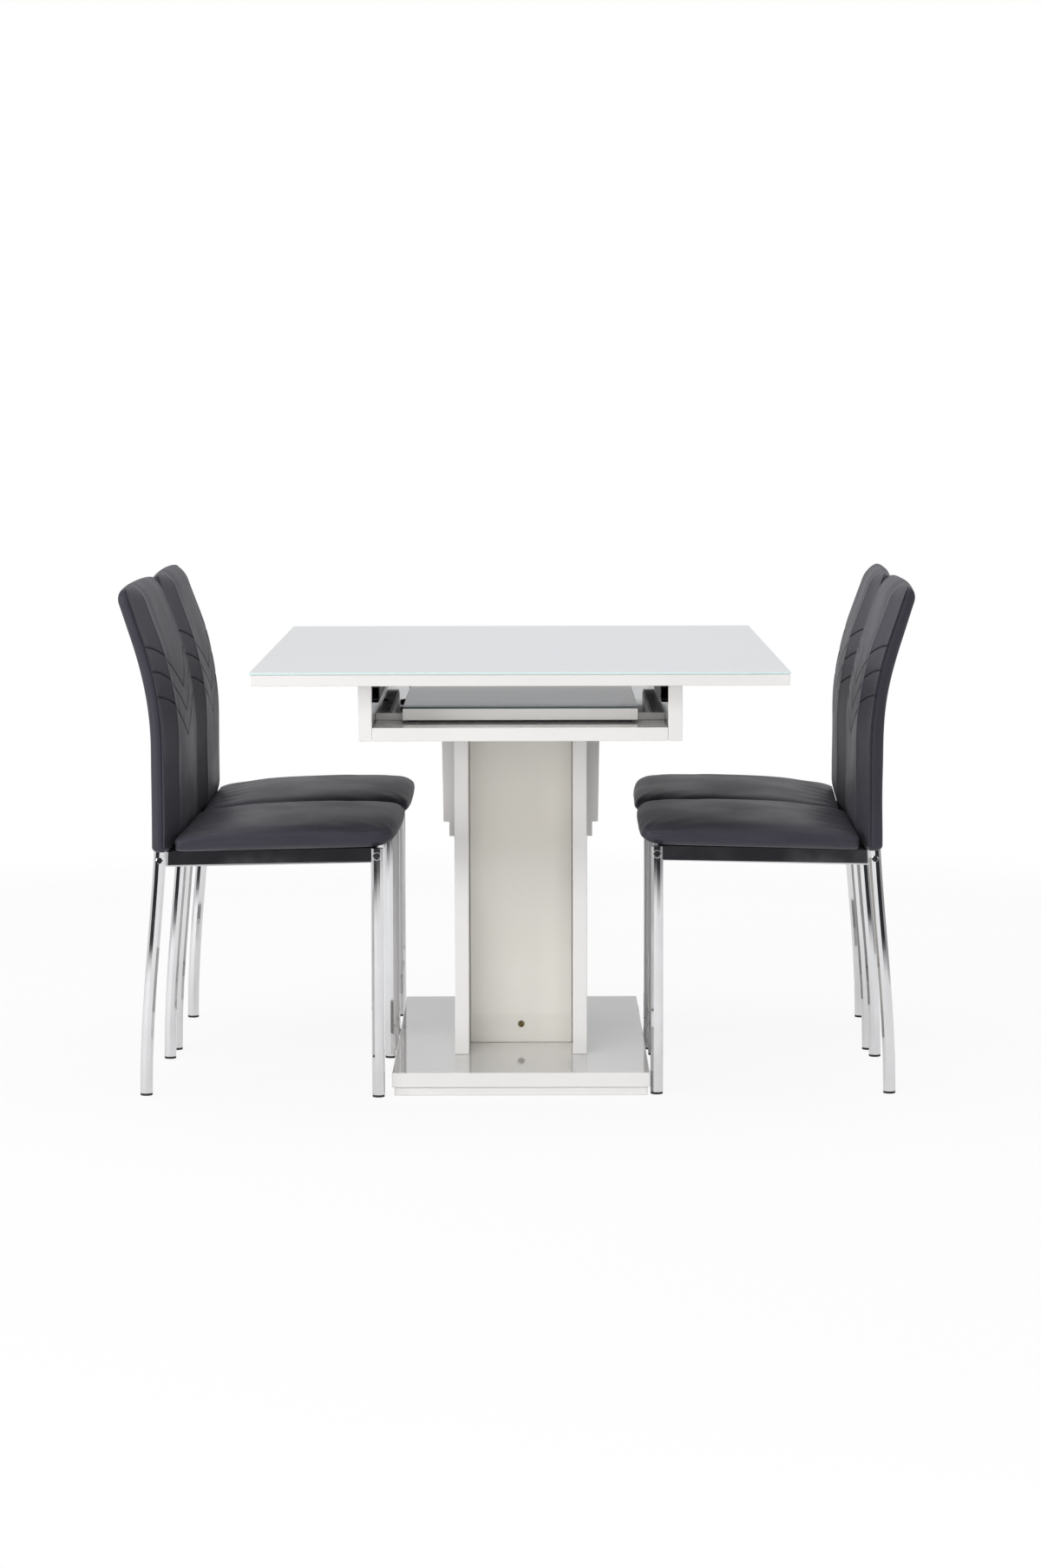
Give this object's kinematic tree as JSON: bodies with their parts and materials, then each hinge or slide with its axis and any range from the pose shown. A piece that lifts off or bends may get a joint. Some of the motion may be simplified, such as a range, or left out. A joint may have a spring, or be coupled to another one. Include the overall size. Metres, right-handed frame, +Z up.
{
  "type": "dining table and chairs",
  "caption": "Pedestal dining table with glass top on ball-bearing slides and a stored leaf, with padded chairs on chrome tube legs.",
  "frame": {"origin": "on the floor under the middle of the table", "axes": "+Z up, the table's length along Y, the chairs' backs towards -X and +X, the pictured end at -Y"},
  "size_m": [1.3795, 1.2, 0.8825],
  "materials": {
    "white_board": "white high-gloss lacquer on board",
    "glass": "clear glass painted light grey beneath",
    "brass": "dull",
    "black_steel": "black coated sheet steel",
    "steel": "bright steel",
    "black_plastic": "matt",
    "black_board": "black covered board",
    "chrome": "polished chrome plate",
    "dark_leather": "charcoal faux leather over foam"
  },
  "bodies": {
    "table": {"base_plinth": "white_board", "base_slab": "white_board", "pedestal_slab_left": "white_board", "pedestal_slab_right": "white_board", "pedestal_panel_front": "white_board", "pedestal_panel_rear": "white_board", "cover_screw_front": "brass", "cover_screw_rear": "brass", "corbel_left": "white_board", "corbel_right": "white_board", "box_side_left": "white_board", "box_side_right": "white_board", "box_bottom": "white_board", "box_rear_rail": "white_board", "guide_strip_left": "white_board", "guide_strip_right": "white_board", "slide_channel_left": "black_steel", "slide_channel_right": "black_steel"},
    "table_top": {"top_board": "white_board", "top_glass": "glass", "slide_runner_left": "black_steel", "slide_runner_right": "black_steel"},
    "ball_cages": {"ball_cage_left": "steel", "ball_cage_right": "steel"},
    "stored_leaf": {"leaf_board": "white_board", "leaf_glass": "glass", "leaf_peg_near": "black_plastic", "leaf_peg_far": "black_plastic"},
    "chair_left_near": {"chair_left_near_rear_leg_left": "chrome", "chair_left_near_rear_leg_right": "chrome", "chair_left_near_front_leg_left": "chrome", "chair_left_near_front_leg_right": "chrome", "chair_left_near_seat_frame": "chrome", "chair_left_near_seat_board": "black_board", "chair_left_near_seat_cushion": "dark_leather", "chair_left_near_back_cushion": "dark_leather"},
    "chair_left_far": {"chair_left_far_rear_leg_left": "chrome", "chair_left_far_rear_leg_right": "chrome", "chair_left_far_front_leg_left": "chrome", "chair_left_far_front_leg_right": "chrome", "chair_left_far_seat_frame": "chrome", "chair_left_far_seat_board": "black_board", "chair_left_far_seat_cushion": "dark_leather", "chair_left_far_back_cushion": "dark_leather"},
    "chair_right_near": {"chair_right_near_rear_leg_left": "chrome", "chair_right_near_rear_leg_right": "chrome", "chair_right_near_front_leg_left": "chrome", "chair_right_near_front_leg_right": "chrome", "chair_right_near_seat_frame": "chrome", "chair_right_near_seat_board": "black_board", "chair_right_near_seat_cushion": "dark_leather", "chair_right_near_back_cushion": "dark_leather"},
    "chair_right_far": {"chair_right_far_rear_leg_left": "chrome", "chair_right_far_rear_leg_right": "chrome", "chair_right_far_front_leg_left": "chrome", "chair_right_far_front_leg_right": "chrome", "chair_right_far_seat_frame": "chrome", "chair_right_far_seat_board": "black_board", "chair_right_far_seat_cushion": "dark_leather", "chair_right_far_back_cushion": "dark_leather"}
  },
  "joints": [
    {"name": "top_slide", "type": "slide", "parent": "table", "child": "table_top", "axis": [0, 1, 0], "range_m": [0, 0.4]},
    {"name": "cage_slide", "type": "slide", "parent": "table", "child": "ball_cages", "axis": [0, 1, 0], "range_m": [0, 0.2]},
    {"name": "leaf_draw", "type": "slide", "parent": "table", "child": "stored_leaf", "axis": [0, -1, 0], "range_m": [0, 0.5]},
    {"name": "chair_left_near_pull", "type": "slide", "parent": "table", "child": "chair_left_near", "axis": [-1, 0, 0], "range_m": [0, 0.45]},
    {"name": "chair_left_far_pull", "type": "slide", "parent": "table", "child": "chair_left_far", "axis": [-1, 0, 0], "range_m": [0, 0.45]},
    {"name": "chair_right_near_pull", "type": "slide", "parent": "table", "child": "chair_right_near", "axis": [1, 0, 0], "range_m": [0, 0.45]},
    {"name": "chair_right_far_pull", "type": "slide", "parent": "table", "child": "chair_right_far", "axis": [1, 0, 0], "range_m": [0, 0.45]}
  ],
  "couplings": [
    {"joint": "cage_slide", "follows": "top_slide", "ratio": 0.5}
  ]
}
